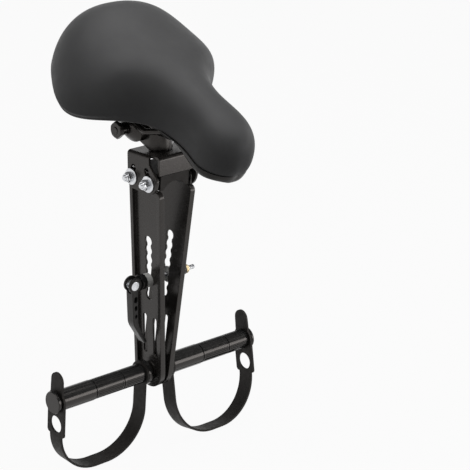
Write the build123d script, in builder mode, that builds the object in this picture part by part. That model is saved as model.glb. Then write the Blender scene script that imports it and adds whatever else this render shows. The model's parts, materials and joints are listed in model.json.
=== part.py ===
"""Child's seat for a bicycle's top tube: pressed legs, foot pegs with straps, a tilting bracket, a saddle.

X points forwards along the tube, Y to the rider's left and Z up. The origin is on the tube's axis.
"""
import os
from math import atan2, cos, radians, sin, tan

from build123d import *

os.makedirs("parts", exist_ok=True)

# Clearances
turn_gap = 0.3  # between pieces that turn or slide past each other
bore_play = 0.1  # round a bolt or rod in its hole
pivot_play = 0.05  # round a shaft that something turns on
slot_play = 0.6  # round a bolt in the bracket's arc slots

# Tube and the rubber block that sits on it
tube_radius = 17.45
arch_half_angle = 58.0
bolt_spacing = 27.7
bolt_below_crown = 1.0
block_overhang = 9.1
block_half_width = 19.5
block_over_bolts = 9.5
block_chamfer = 1.5

# Bracket bolts, washers and nuts
bolt_radius = 3.0
bolt_head_radius = 6.0
bolt_head_height = 3.5
bolt_pocket_depth = 1.0
bolt_tail = 2.0
thread_chamfer = 0.8
washer_radius = 9.0
washer_thickness = 1.6
nut_flats = 10.0
nut_height = 5.4
nut_collar_height = 2.0
nut_collar_radius = 4.6

# Legs
leg_sheet = 3.0
tongue_radius = 9.5
bend_drop = 8.0
rim_depth = 6.5
rim_width = 5.0
web_sheet = 2.5
leg_offset = 3.3
leg_top_half_width = 25.3
foot_radius = 22.6
foot_rise = 4.0
foot_gap = 0.6
shoulder_radius = 6.5
pocket_corner = 4.0
chain_first_drop = 71.0
chain_pitch = 10.8
chain_steps = 6
chain_radius = 5.4
chain_neck = 7.6
slot_top_drop = 161.0
slot_length = 47.5
slot_width = 5.5
slot_offset = 8.3

# Skewer, cam lever and its fittings
chain_steps_to_skewer = 4
rod_radius = 2.5
rod_end = 51.0
wedge_radius = 9.0
wedge_thickness = 2.2
bush_radius = 7.8
bush_length = 8.0
cam_block_radius = 8.5
cam_block_length = 6.5
dowel_radius = 5.2
dowel_reach = 8.8
cam_radius = 8.6
cam_offset = 1.0
lever_width = 12.0
lever_slot = 6.0
lever_root = 8.2
lever_neck = 6.8
lever_tip = 4.0
lever_lean = 3.6
lever_bend_drop = 47.0
lever_bend_radius = 22.0
lever_curl = 18.6
lever_reach = 71.8
lever_hole_length = 7.4
lever_hole_width = 4.4
lever_hole_shrink = 0.8
lever_hole_first = 16.5
lever_hole_pitch = 10.0
lever_hole_count = 3
lever_edge = 1.0
barrel_radius = 8.0
barrel_tip_radius = 5.6
barrel_rim = 4.0
barrel_length = 22.0
lock_nut_flats = 9.0
lock_nut_height = 4.0

# Foot pegs
peg_drop = 227.8
peg_bolt_radius = 4.0
peg_bolt_head_radius = 8.0
peg_bolt_head_face = 2.2
peg_bolt_reach = 22.0
boss_radius = 10.5
boss_face = 6.6
peg_nut_flats = 13.0
peg_nut_height = 6.5
flange_radius = 14.0
flange_thickness = 4.0
neck_radius = 8.0
grip_core_radius = 10.5
grip_radius = 11.0
rib_count = 30
rib_width = 1.2
short_grip_length = 27.0
long_grip_length = 34.0
ring_width = 4.0
ring_groove_width = 1.2
ring_groove_depth = 1.2
sleeve_radius = 11.5
sleeve_length = 42.5
button_radius = 12.5
button_thickness = 3.0
button_dome = 0.8
button_neck_play = 2.0

# Foot straps
strap_thickness = 2.5
strap_play = 0.4
strap_band_width = 19.0
strap_drop = 89.0
strap_bend = 50.0
strap_plate_half_width = 14.0
strap_plate_corner = 4.0
strap_eye_radius = 14.0
strap_tab_height = 34.0
strap_tab_half_width = 9.5
strap_tab_root = 10.5
strap_hole_radius = 9.6
strap_hole_drop = 27.0
strap_hole_margin = 3.4
strap_left_swing = 12.0
strap_right_swing = 0.0

# Seat bracket, tilted nose up on the legs
bracket_tilt = 5.0
bracket_tilt_travel = 28.0
bracket_sheet = 3.0
bracket_rise = 30.4
bracket_round = 4.0
cheek_rear_overhang = 6.8
cheek_depth = 13.6
cheek_rear_depth = 10.0
cheek_front = 14.0
cheek_front_round = 17.0
cheek_rear_round = 8.0
relief_low = 6.0
relief_high = 21.0
relief_back = 1.0
lip_reach = 13.2
lip_depth = 20.5
lip_inset = 1.2
plate_lap = 12.0

# Post stub and saddle clamp
post_radius = 11.1
post_wall = 2.5
post_height = 18.0
post_back = 15.9
band_wall = 3.4
band_height = 15.0
band_lift = 1.0
clamp_back = 20.6
clamp_height = 22.7
lug_radius = 11.8
clamp_bolt_radius = 4.0
cup_half_length = 20.0
cup_half_height = 13.5
cup_nose_radius = 7.4
outer_cup_width = 6.0
collar_radius = 6.8
collar_width = 8.5
clamp_nut_flats = 16.5
clamp_nut_height = 5.0
clamp_bolt_tail = 0.8

# Saddle, pitched nose down from the bracket
saddle_pitch = 21.0
rail_radius = 3.5
rail_half_spacing = 22.0
rail_height = 8.5
rail_rear_run = 50.0
rail_front_run = 22.0
rail_rear_rise_run = 26.0
rail_front_rise_run = 27.0
rail_rear_half_spacing = 34.0
rail_nose_half_spacing = 12.0
rail_bend = 12.0
rail_nose_bend = 7.0
saddle_fore = 15.3
saddle_up = 37.5
saddle_length = 262.0
saddle_half_width = 91.5
base_under = -10.0
base_sheet = 4.0
skirt_wall = 7.0
socket_height = 7.0
socket_margin = 6.0
skirt_tuck = 0.96
dome = 0.75

# Saddle sections from tail to tip: place along the length, share of the half width, crown height, edge
# height, and the widest line's share of the height
heel = (-0.490, 0.130, 20.0, -4.0, 0.30)
tail = (-0.476, 0.420, 40.0, -10.0, 0.30)
rump = (-0.425, 0.690, 54.0, -13.0, 0.30)
hips = (-0.330, 0.880, 64.0, -17.0, 0.28)
wings = (-0.190, 1.000, 61.5, -26.0, 0.27)
flanks = (-0.040, 0.840, 57.5, -15.0, 0.30)
throat = (0.090, 0.410, 53.0, -8.0, 0.44)
waist = (0.230, 0.290, 49.0, -10.5, 0.55)
nose = (0.370, 0.315, 45.5, -15.5, 0.57)
chin = (0.460, 0.255, 37.0, -13.5, 0.50)
tip = (0.503, 0.130, 20.0, -11.0, 0.45)
sections = [heel, tail, rump, hips, wings, flanks, throat, waist, nose, chin, tip]

# Derived places across the seat
bolt_z = tube_radius - bolt_below_crown
bolt_x = bolt_spacing / 2
tongue_in = block_half_width - bolt_pocket_depth + bolt_head_height
tongue_out = tongue_in + leg_sheet
cheek_in = tongue_out + turn_gap
cheek_out = cheek_in + bracket_sheet
washer_in = cheek_out + turn_gap
washer_out = washer_in + washer_thickness
nut_out = washer_out + nut_height
collar_out = nut_out + nut_collar_height

# Derived leg geometry: each leg leans in so that the feet almost meet
bend_z = bolt_z - bend_drop
peg_z = bolt_z - peg_drop
foot_drop = peg_drop - foot_rise + foot_radius
lean = atan2(tongue_out - rim_depth - foot_gap, foot_drop - bend_drop)
foot_y = -(peg_drop - foot_rise - bend_drop) / cos(lean)
shoulder_x = leg_top_half_width - shoulder_radius


def land_y(z):
    """Distance of the leg's outer land from the middle at a height."""
    return tongue_out - (bend_z - z) * tan(lean)


def web_y(z):
    """Distance of the web's outer face from the middle at a height."""
    return land_y(z) - (rim_depth - web_sheet) / cos(lean)


# Derived skewer and peg places: the rod rests low in one of the chain slot's rounds
chain_top_z = bolt_z - chain_first_drop
skewer_x = leg_offset
skewer_z = chain_top_z - chain_steps_to_skewer * chain_pitch - chain_radius + rod_radius + bore_play
wedge_face = web_y(skewer_z) + wedge_thickness
bush_face = web_y(skewer_z) + bush_length
cam_block_face = bush_face + cam_block_length
dowel_y = cam_block_face + dowel_reach
barrel_face = wedge_face + barrel_length
lock_nut_face = barrel_face + lock_nut_height

peg_nut_face = boss_face + peg_nut_height
flange_face = peg_nut_face + flange_thickness
eye_room = strap_thickness + strap_play
grip_start = flange_face + eye_room
grip_end = grip_start + short_grip_length + long_grip_length + sleeve_length + 2 * ring_width
button_start = grip_end + eye_room + button_neck_play

# Frames: the legs' own, the bracket's at the front bolt, the saddle clamp's at its bolt, and the saddle's
root = Plane.XY
bracket = Plane(
    origin=(bolt_x, 0, bolt_z),
    x_dir=(cos(radians(bracket_tilt)), 0, sin(radians(bracket_tilt))),
    z_dir=(-sin(radians(bracket_tilt)), 0, cos(radians(bracket_tilt))),
)
clamp_x = -post_back - clamp_back
clamp_z = bracket_rise + clamp_height
rail_pitch = radians(saddle_pitch - bracket_tilt)
clamp = Plane(
    origin=bracket.from_local_coords((clamp_x, 0, clamp_z)),
    x_dir=(cos(rail_pitch), 0, -sin(rail_pitch)),
    z_dir=(sin(rail_pitch), 0, cos(rail_pitch)),
)
saddle = Plane(
    origin=clamp.from_local_coords((saddle_fore, 0, saddle_up)),
    x_dir=clamp.x_dir,
    z_dir=clamp.z_dir,
)
tray_plane = Plane(
    origin=(leg_offset, tongue_out, bend_z),
    x_dir=(1, 0, 0),
    z_dir=(0, -cos(lean), sin(lean)),
)


def side(frame, y=0.0):
    """Side view of a frame, drawn with x forwards and z up; extrusion goes to the right."""
    return Plane(origin=frame.from_local_coords((0, y, 0)), x_dir=frame.x_dir, z_dir=-frame.y_dir)


def front(frame, x=0.0):
    """Front view of a frame, drawn with y left and z up; extrusion goes forwards."""
    return Plane(origin=frame.from_local_coords((x, 0, 0)), x_dir=frame.y_dir, z_dir=frame.x_dir)


def turning(frame, x, z):
    """Half view of a crosswise shaft, drawn with the distance to the left and the radius."""
    return Plane(origin=frame.from_local_coords((x, 0, z)), x_dir=frame.y_dir, z_dir=frame.x_dir)


def crosswise(frame, x, z):
    """Axis of a crosswise shaft."""
    return Axis(frame.from_local_coords((x, 0, z)), frame.y_dir)


# Rubber block, arched over the tube, with a pocket for each bolt head
block_half_length = bolt_x + block_overhang
block_top = bolt_z + block_over_bolts
arch_z = tube_radius * cos(radians(arch_half_angle))
with BuildPart() as tube_block:
    with BuildSketch(front(root)):
        with BuildLine():
            FilletPolyline(
                (block_half_width, arch_z),
                (block_half_width, block_top),
                (-block_half_width, block_top),
                (-block_half_width, arch_z),
                radius=block_chamfer,
            )
            Line((-block_half_width, arch_z), (block_half_width, arch_z))
        make_face()
        Circle(tube_radius, mode=Mode.SUBTRACT)
    extrude(amount=block_half_length, both=True)
    for face_y in (block_half_width, bolt_pocket_depth - block_half_width):
        with BuildSketch(side(root, face_y)):
            with Locations((bolt_x, bolt_z), (-bolt_x, bolt_z)):
                Circle(bolt_head_radius + bore_play)
        extrude(amount=bolt_pocket_depth, mode=Mode.SUBTRACT)
tube_block.part.label = "tube_block"
export_step(tube_block.part, "parts/tube_block.step")

# Left leg: a flat tongue under the bracket, and below the bend a tray with a rim, a web and slots
with BuildPart() as leg_left:
    with BuildSketch(side(root, tongue_out)):
        with BuildLine():
            CenterArc((bolt_x, bolt_z), tongue_radius, 0, 180)
            CenterArc((-bolt_x, bolt_z), tongue_radius, 0, 180)
            Line((leg_offset - leg_top_half_width, bend_z), (leg_offset + shoulder_x, bend_z))
        make_hull()
    extrude(amount=leg_sheet)
    with BuildSketch(tray_plane) as tray:
        with BuildLine():
            CenterArc((0, foot_y), foot_radius, 180, 180)
            CenterArc((shoulder_x, -shoulder_radius), shoulder_radius, 0, 90)
            Line((-leg_top_half_width, 0), (shoulder_x, 0))
        make_hull()
    extrude(amount=rim_depth)
    with BuildSketch(tray_plane) as tray_pocket:
        add(tray.sketch_local)
        offset(amount=-rim_width, mode=Mode.REPLACE)
        fillet(tray_pocket.vertices().group_by(Axis.Y)[-1].sort_by(Axis.X)[0], pocket_corner)
    extrude(amount=rim_depth - web_sheet, mode=Mode.SUBTRACT)
    with BuildSketch(side(root, boss_face)):
        with Locations((leg_offset, peg_z)):
            Circle(boss_radius)
    extrude(amount=boss_face - web_y(peg_z) + web_sheet / 2)
    with BuildSketch(side(root, tongue_out)):
        with Locations((bolt_x, bolt_z), (-bolt_x, bolt_z)):
            Circle(bolt_radius + bore_play)
        with Locations((leg_offset, chain_top_z - chain_steps * chain_pitch / 2)):
            with GridLocations(0, chain_pitch, 1, chain_steps + 1):
                Circle(chain_radius)
            SlotCenterToCenter(chain_steps * chain_pitch, chain_neck, rotation=90)
        with Locations((leg_offset - slot_offset, bolt_z - slot_top_drop - slot_length / 2),
                       (leg_offset + slot_offset, bolt_z - slot_top_drop - slot_length / 2)):
            SlotOverall(slot_length, slot_width, rotation=90)
    extrude(amount=tongue_out, mode=Mode.SUBTRACT)
    with BuildSketch(turning(root, leg_offset, peg_z)):
        with BuildLine():
            Polyline(
                (0, 0),
                (0, peg_bolt_head_radius + bore_play),
                (peg_bolt_head_face, peg_bolt_head_radius + bore_play),
                (peg_bolt_head_face + peg_bolt_head_radius - peg_bolt_radius, peg_bolt_radius + bore_play),
                (tongue_out, peg_bolt_radius + bore_play),
                (tongue_out, 0),
                close=True,
            )
        make_face()
    revolve(axis=crosswise(root, leg_offset, peg_z), mode=Mode.SUBTRACT)
leg_left.part.label = "leg_left"
export_step(leg_left.part, "parts/leg_left.step")

# Right leg, the mirror of the left
with BuildPart() as leg_right:
    mirror(leg_left.part, about=Plane.XZ)
leg_right.part.label = "leg_right"
export_step(leg_right.part, "parts/leg_right.step")

# Bracket bolts, heads against the block and tails out through the bracket's cheeks
with BuildPart() as bracket_bolts:
    for x in (bolt_x, -bolt_x):
        with BuildSketch(turning(root, x, bolt_z)):
            with BuildLine():
                Polyline(
                    (tongue_in - bolt_head_height, 0),
                    (tongue_in - bolt_head_height, bolt_head_radius),
                    (tongue_in, bolt_head_radius),
                    (tongue_in, bolt_radius),
                    (collar_out + bolt_tail - thread_chamfer, bolt_radius),
                    (collar_out + bolt_tail, bolt_radius - thread_chamfer),
                    (collar_out + bolt_tail, 0),
                    close=True,
                )
            make_face()
        revolve(axis=crosswise(root, x, bolt_z))
    mirror(about=Plane.XZ)
bracket_bolts.part.label = "bracket_bolts"
export_step(bracket_bolts.part, "parts/bracket_bolts.step")

# Washers outside the bracket's cheeks
with BuildPart() as bracket_washers:
    with BuildSketch(side(root, washer_out)):
        with Locations((bolt_x, bolt_z), (-bolt_x, bolt_z)):
            Circle(washer_radius)
            Circle(bolt_radius + bore_play, mode=Mode.SUBTRACT)
    extrude(amount=washer_thickness)
    mirror(about=Plane.XZ)
bracket_washers.part.label = "bracket_washers"
export_step(bracket_washers.part, "parts/bracket_washers.step")

# Lock nuts with a round collar
with BuildPart() as bracket_nuts:
    with BuildSketch(side(root, nut_out)):
        with Locations((bolt_x, bolt_z), (-bolt_x, bolt_z)):
            RegularPolygon(nut_flats / 2, 6, major_radius=False)
            Circle(bolt_radius + bore_play, mode=Mode.SUBTRACT)
    extrude(amount=nut_height)
    with BuildSketch(side(root, collar_out)):
        with Locations((bolt_x, bolt_z), (-bolt_x, bolt_z)):
            Circle(nut_collar_radius)
            Circle(bolt_radius + bore_play, mode=Mode.SUBTRACT)
    extrude(amount=nut_collar_height)
    mirror(about=Plane.XZ)
bracket_nuts.part.label = "bracket_nuts"
export_step(bracket_nuts.part, "parts/bracket_nuts.step")

# Skewer rod through both legs, held by the dowel on the right
with BuildPart() as skewer_rod:
    with BuildSketch(side(root, rod_end)):
        with Locations((skewer_x, skewer_z)):
            Circle(rod_radius)
    extrude(amount=rod_end + dowel_y + dowel_radius / 2)
    chamfer(skewer_rod.edges().sort_by(Axis.Y)[-1], thread_chamfer)
skewer_rod.part.label = "skewer_rod"
export_step(skewer_rod.part, "parts/skewer_rod.step")



def wedge_shape(radius, length):
    """Left-hand ring that turns the leaning web into a face square to the rod."""
    with BuildPart() as wedge:
        with BuildSketch(side(root, web_y(skewer_z) + length)):
            with Locations((skewer_x, skewer_z)):
                Circle(radius)
                Circle(rod_radius + bore_play, mode=Mode.SUBTRACT)
        extrude(amount=length + web_sheet)
        split(bisect_by=tray_plane.offset(rim_depth - web_sheet), keep=Keep.BOTTOM)
    return wedge.part


# Wedge washer on the left web and a longer bush on the right one
with BuildPart() as skewer_washers:
    add(wedge_shape(wedge_radius, wedge_thickness))
    mirror(wedge_shape(bush_radius, bush_length), about=Plane.XZ)
skewer_washers.part.label = "skewer_washers"
export_step(skewer_washers.part, "parts/skewer_washers.step")

# Cam block, hollowed at its outer end to seat the lever's lobes
with BuildPart() as cam_block:
    with BuildSketch(side(root, -bush_face)):
        with Locations((skewer_x, skewer_z)):
            Circle(cam_block_radius)
            Circle(rod_radius + bore_play, mode=Mode.SUBTRACT)
    extrude(amount=cam_block_length)
    with BuildSketch(front(root, skewer_x)):
        with Locations((cam_offset - dowel_y, skewer_z)):
            Circle(cam_radius + turn_gap)
    extrude(amount=cam_block_radius, both=True, mode=Mode.SUBTRACT)
cam_block.part.label = "cam_block"
export_step(cam_block.part, "parts/cam_block.step")

# Dowel across the rod's end, the lever's pivot
with BuildPart() as lever_dowel:
    with BuildSketch(front(root, skewer_x)):
        with Locations((-dowel_y, skewer_z)):
            Circle(dowel_radius)
    extrude(amount=lever_width / 2, both=True)
    with BuildSketch(side(root)):
        with Locations((skewer_x, skewer_z)):
            Circle(rod_radius + bore_play)
    extrude(amount=dowel_y + 2 * dowel_radius, mode=Mode.SUBTRACT)
lever_dowel.part.label = "lever_dowel"
export_step(lever_dowel.part, "parts/lever_dowel.step")

# Cam lever: two lobes on the dowel, a tapering arm with oval holes and a tip bent in to the leg
lever_turn = atan2(lever_curl - lever_lean, lever_reach - lever_bend_drop)
tip_dy = cos(lever_turn) * lever_tip / 2
tip_dz = sin(lever_turn) * lever_tip / 2
with BuildPart() as cam_lever:
    with BuildSketch(front(root, skewer_x)):
        with Locations((-dowel_y, skewer_z)):
            with BuildSketch(mode=Mode.PRIVATE) as arm:
                with BuildLine():
                    FilletPolyline(
                        (-lever_root / 2, 0),
                        (lever_lean - lever_neck / 2, -lever_bend_drop),
                        (lever_curl - tip_dy, -lever_reach - tip_dz),
                        (lever_curl + tip_dy, -lever_reach + tip_dz),
                        (lever_lean + lever_neck / 2, -lever_bend_drop),
                        (lever_root / 2, 0),
                        radius=[lever_bend_radius, lever_tip / 3, lever_tip / 3, lever_bend_radius],
                    )
                    Line((lever_root / 2, 0), (-lever_root / 2, 0))
                make_face()
            add(arm.sketch)
        with Locations((cam_offset - dowel_y, skewer_z)):
            Circle(cam_radius)
    extrude(amount=lever_width / 2, both=True)
    chamfer(cam_lever.faces().filter_by(Axis.X).edges(), lever_edge)
    with BuildSketch(front(root, skewer_x)):
        with Locations((-dowel_y, skewer_z)):
            Circle(dowel_radius + pivot_play)
        for i in range(lever_hole_count):
            hole_drop = lever_hole_first + i * lever_hole_pitch
            with Locations((lever_lean * hole_drop / lever_bend_drop - dowel_y, skewer_z - hole_drop)):
                SlotOverall(
                    lever_hole_length * lever_hole_shrink**i,
                    lever_hole_width * lever_hole_shrink**i,
                    rotation=90,
                )
    extrude(amount=lever_width, both=True, mode=Mode.SUBTRACT)
    with BuildSketch(front(root, skewer_x)):
        with Locations((-dowel_y, skewer_z)):
            Circle(cam_radius + cam_offset + turn_gap)
    extrude(amount=lever_slot / 2, both=True, mode=Mode.SUBTRACT)
cam_lever.part.label = "cam_lever"
export_step(cam_lever.part, "parts/cam_lever.step")

# Barrel nut on the rod's far end
with BuildPart() as barrel_nut:
    with BuildSketch(turning(root, skewer_x, skewer_z)):
        with BuildLine():
            Polyline(
                (wedge_face, rod_radius + bore_play),
                (wedge_face, barrel_radius),
                (wedge_face + barrel_rim, barrel_radius),
                (barrel_face, barrel_tip_radius),
                (barrel_face, rod_radius + bore_play),
                close=True,
            )
        make_face()
    revolve(axis=crosswise(root, skewer_x, skewer_z))
barrel_nut.part.label = "barrel_nut"
export_step(barrel_nut.part, "parts/barrel_nut.step")

# Lock nut outside the barrel nut
with BuildPart() as lock_nut:
    with BuildSketch(side(root, lock_nut_face)):
        with Locations((skewer_x, skewer_z)):
            RegularPolygon(lock_nut_flats / 2, 6, major_radius=False)
            Circle(rod_radius + bore_play, mode=Mode.SUBTRACT)
    extrude(amount=lock_nut_height)
lock_nut.part.label = "lock_nut"
export_step(lock_nut.part, "parts/lock_nut.step")

# Countersunk peg bolts from inside each foot
with BuildPart() as peg_bolts:
    with BuildSketch(turning(root, leg_offset, peg_z)):
        with BuildLine():
            Polyline(
                (peg_bolt_head_face, 0),
                (peg_bolt_head_face, peg_bolt_head_radius),
                (peg_bolt_head_face + peg_bolt_head_radius - peg_bolt_radius, peg_bolt_radius),
                (peg_nut_face + peg_bolt_reach, peg_bolt_radius),
                (peg_nut_face + peg_bolt_reach, 0),
                close=True,
            )
        make_face()
    revolve(axis=crosswise(root, leg_offset, peg_z))
    mirror(about=Plane.XZ)
peg_bolts.part.label = "peg_bolts"
export_step(peg_bolts.part, "parts/peg_bolts.step")

# Peg nuts on the leg bosses
with BuildPart() as peg_nuts:
    with BuildSketch(side(root, peg_nut_face)):
        with Locations((leg_offset, peg_z)):
            RegularPolygon(peg_nut_flats / 2, 6, major_radius=False)
            Circle(peg_bolt_radius + bore_play, mode=Mode.SUBTRACT)
    extrude(amount=peg_nut_height)
    mirror(about=Plane.XZ)
peg_nuts.part.label = "peg_nuts"
export_step(peg_nuts.part, "parts/peg_nuts.step")

# Foot pegs: a flange, a neck for the strap, two ribbed grips and a plain sleeve parted by grooved rings, a
# second neck and an end button
short_grip = (short_grip_length, grip_core_radius)
long_grip = (long_grip_length, grip_core_radius)
plain_sleeve = (sleeve_length, sleeve_radius)


def peg_shape(spans):
    """Left-hand peg with its spans given from the leg outwards."""
    lengths = [span[0] for span in spans]
    starts = [grip_start + sum(lengths[:i]) + i * ring_width for i in range(len(spans))]
    with BuildPart() as peg:
        with BuildSketch(turning(root, leg_offset, peg_z)):
            with Locations((peg_nut_face, 0)):
                Rectangle(flange_thickness, flange_radius, align=(Align.MIN, Align.MIN))
                Rectangle(button_start - peg_nut_face, neck_radius, align=(Align.MIN, Align.MIN))
            for start, (length, radius) in zip(starts, spans):
                with Locations((start, 0)):
                    Rectangle(length, radius, align=(Align.MIN, Align.MIN))
            for start in starts[1:]:
                with Locations((start, 0)):
                    Rectangle(ring_width, grip_radius, align=(Align.MAX, Align.MIN))
                with Locations((start - ring_width / 2, grip_radius - ring_groove_depth)):
                    Rectangle(
                        ring_groove_width,
                        ring_groove_depth,
                        align=(Align.CENTER, Align.MIN),
                        mode=Mode.SUBTRACT,
                    )
            with Locations((button_start, 0)):
                Rectangle(button_thickness, button_radius, align=(Align.MIN, Align.MIN))
        revolve(axis=crosswise(root, leg_offset, peg_z))
        chamfer(peg.edges().group_by(Axis.Y)[-1], button_dome)
        for start, (length, radius) in zip(starts, spans):
            if radius < grip_radius:
                with BuildSketch(side(root, start + length)):
                    with Locations((leg_offset, peg_z)):
                        with PolarLocations((radius + grip_radius) / 2 - rib_width / 4, rib_count):
                            Rectangle(grip_radius - radius + rib_width / 2, rib_width)
                extrude(amount=length)
        with BuildSketch(side(root, peg_nut_face + peg_bolt_reach)):
            with Locations((leg_offset, peg_z)):
                Circle(peg_bolt_radius + bore_play)
        extrude(amount=peg_bolt_reach, mode=Mode.SUBTRACT)
    return peg.part


with BuildPart() as peg_left:
    add(peg_shape([plain_sleeve, long_grip, short_grip]))
peg_left.part.label = "peg_left"
export_step(peg_left.part, "parts/peg_left.step")

with BuildPart() as peg_right:
    mirror(peg_shape([short_grip, long_grip, plain_sleeve]), about=Plane.XZ)
peg_right.part.label = "peg_right"
export_step(peg_right.part, "parts/peg_right.step")

# Foot straps: an eye behind each grip, a band hanging in a loop, and a holed plate over the outer neck
strap_in_y = flange_face + strap_play / 2 + strap_thickness / 2
strap_out_y = grip_end + strap_play / 2 + strap_thickness / 2
strap_plate_x = strap_plate_half_width - strap_plate_corner
strap_plate_drop = strap_hole_drop + strap_hole_radius + strap_hole_margin - strap_plate_corner
strap_hole = neck_radius + strap_play


def strap_shape(swing):
    """Left-hand strap, swung about the peg with its loop forwards."""
    frame = Plane(
        origin=(leg_offset, 0, peg_z),
        x_dir=(cos(radians(swing)), 0, sin(radians(swing))),
        z_dir=(-sin(radians(swing)), 0, cos(radians(swing))),
    )
    with BuildPart() as strap:
        with BuildSketch(front(frame)):
            with BuildLine():
                FilletPolyline(
                    (strap_out_y, -strap_hole_drop),
                    (strap_out_y, -strap_drop),
                    (strap_in_y, -strap_drop),
                    (strap_in_y, 0),
                    radius=strap_bend,
                )
            trace(line_width=strap_thickness)
        extrude(amount=strap_band_width / 2, both=True)
        with BuildSketch(side(frame, strap_in_y + strap_thickness / 2)):
            Circle(strap_eye_radius)
        extrude(amount=strap_thickness)
        with BuildSketch(side(frame, strap_out_y + strap_thickness / 2)):
            with BuildLine():
                CenterArc((0, 0), strap_plate_half_width, 0, 180)
                CenterArc((strap_plate_x, -strap_plate_drop), strap_plate_corner, 270, 90)
                CenterArc((-strap_plate_x, -strap_plate_drop), strap_plate_corner, 180, 90)
            make_hull()
        extrude(amount=strap_thickness)
        with BuildSketch(side(frame, strap_out_y + strap_thickness / 2)):
            with BuildLine():
                CenterArc((0, strap_tab_height - strap_tab_half_width), strap_tab_half_width, 0, 180)
                Line((-strap_tab_root, 0), (strap_tab_root, 0))
            make_hull()
        extrude(amount=strap_thickness)
        with BuildSketch(side(frame, strap_out_y + strap_thickness)):
            Circle(strap_hole)
        extrude(amount=strap_out_y, mode=Mode.SUBTRACT)
        with BuildSketch(side(frame, strap_out_y + strap_thickness)):
            with Locations((0, -strap_hole_drop)):
                Circle(strap_hole_radius)
        extrude(amount=2 * strap_thickness, mode=Mode.SUBTRACT)
    return strap.part


with BuildPart() as strap_left:
    add(strap_shape(strap_left_swing))
strap_left.part.label = "strap_left"
export_step(strap_left.part, "parts/strap_left.step")

with BuildPart() as strap_right:
    mirror(strap_shape(strap_right_swing), about=Plane.XZ)
strap_right.part.label = "strap_right"
export_step(strap_right.part, "parts/strap_right.step")

# Seat bracket: a folded channel with an arc slot over each bolt and a lip folded down in front
slot_radius = bolt_radius + slot_play
cheek_rear = -bolt_spacing - cheek_rear_overhang
with BuildPart() as seat_bracket:
    with BuildSketch(front(bracket, cheek_rear - bracket_sheet)):
        with BuildLine():
            FilletPolyline(
                (cheek_out, -2 * cheek_depth),
                (cheek_out, bracket_rise),
                (-cheek_out, bracket_rise),
                (-cheek_out, -2 * cheek_depth),
                radius=bracket_round,
            )
            Line((-cheek_out, -2 * cheek_depth), (cheek_out, -2 * cheek_depth))
        make_face()
        with Locations((0, bracket_rise - bracket_sheet)):
            Rectangle(
                2 * cheek_in,
                bracket_rise + 4 * cheek_depth,
                align=(Align.CENTER, Align.MAX),
                mode=Mode.SUBTRACT,
            )
    extrude(amount=2 * bracket_sheet + cheek_front - cheek_rear)
    with BuildSketch(side(bracket, cheek_out + bracket_sheet)):
        with BuildLine():
            FilletPolyline(
                (cheek_rear, 2 * bracket_rise),
                (cheek_rear, -cheek_rear_depth),
                (cheek_front, -cheek_depth),
                (cheek_front, relief_low),
                (relief_back, relief_high),
                (relief_back, 2 * bracket_rise),
                radius=[cheek_rear_round, cheek_front_round, bracket_round, bracket_round],
            )
            Line((relief_back, 2 * bracket_rise), (cheek_rear, 2 * bracket_rise))
        make_face()
    extrude(amount=2 * (cheek_out + bracket_sheet), mode=Mode.INTERSECT)
    with BuildSketch(side(bracket, cheek_in - lip_inset)):
        with BuildLine():
            FilletPolyline(
                (-plate_lap, bracket_rise - bracket_sheet / 2),
                (lip_reach - bracket_sheet / 2, bracket_rise - bracket_sheet / 2),
                (lip_reach - bracket_sheet / 2, bracket_rise - lip_depth),
                radius=bracket_round - bracket_sheet / 2,
            )
        trace(line_width=bracket_sheet)
    extrude(amount=2 * (cheek_in - lip_inset))
    with BuildSketch(side(bracket, cheek_out)):
        with BuildLine():
            rear_arc = CenterArc((0, 0), bolt_spacing, 180, -bracket_tilt_travel)
        SlotArc(rear_arc, 2 * slot_radius)
        with BuildLine():
            front_arc = CenterArc((-bolt_spacing, 0), bolt_spacing, 0, bracket_tilt_travel)
        SlotArc(front_arc, 2 * slot_radius)
    extrude(amount=2 * cheek_out, mode=Mode.SUBTRACT)
seat_bracket.part.label = "seat_bracket"
export_step(seat_bracket.part, "parts/seat_bracket.step")

# Post stub standing on the bracket
with BuildPart() as post_stub:
    with BuildSketch(bracket.offset(bracket_rise)):
        with Locations((-post_back, 0)):
            Circle(post_radius)
            Circle(post_radius - post_wall, mode=Mode.SUBTRACT)
    extrude(amount=post_height)
post_stub.part.label = "post_stub"
export_step(post_stub.part, "parts/post_stub.step")

# Clamp band: a loop round the post with two lugs running back to the cross bolt
band_in = post_radius + pivot_play
band_out = band_in + band_wall
lug_end = clamp_x - lug_radius
with BuildPart() as clamp_band:
    with BuildSketch(bracket.offset(bracket_rise + band_lift)):
        with Locations((-post_back, 0)):
            Circle(band_out)
        with Locations(((lug_end - post_back) / 2, 0)):
            Rectangle(-post_back - lug_end, 2 * band_out)
        with Locations((-post_back, 0)):
            Circle(band_in, mode=Mode.SUBTRACT)
        with Locations(((lug_end - post_back) / 2, 0)):
            Rectangle(-post_back - lug_end, 2 * band_in, mode=Mode.SUBTRACT)
    extrude(amount=clamp_height - band_lift + lug_radius)
    with BuildSketch(side(bracket, band_out)):
        with BuildLine():
            CenterArc((clamp_x, clamp_z), lug_radius, 0, 360)
            Polyline(
                (-post_back, bracket_rise + band_lift),
                (band_out - post_back, bracket_rise + band_lift),
                (band_out - post_back, bracket_rise + band_lift + band_height),
                (-post_back, bracket_rise + band_lift + band_height),
                close=True,
            )
        make_hull()
    extrude(amount=2 * band_out, mode=Mode.INTERSECT)
    with BuildSketch(side(bracket, band_out)):
        with Locations((clamp_x, clamp_z)):
            Circle(clamp_bolt_radius + bore_play)
    extrude(amount=2 * band_out, mode=Mode.SUBTRACT)
clamp_band.part.label = "clamp_band"
export_step(clamp_band.part, "parts/clamp_band.step")

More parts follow.
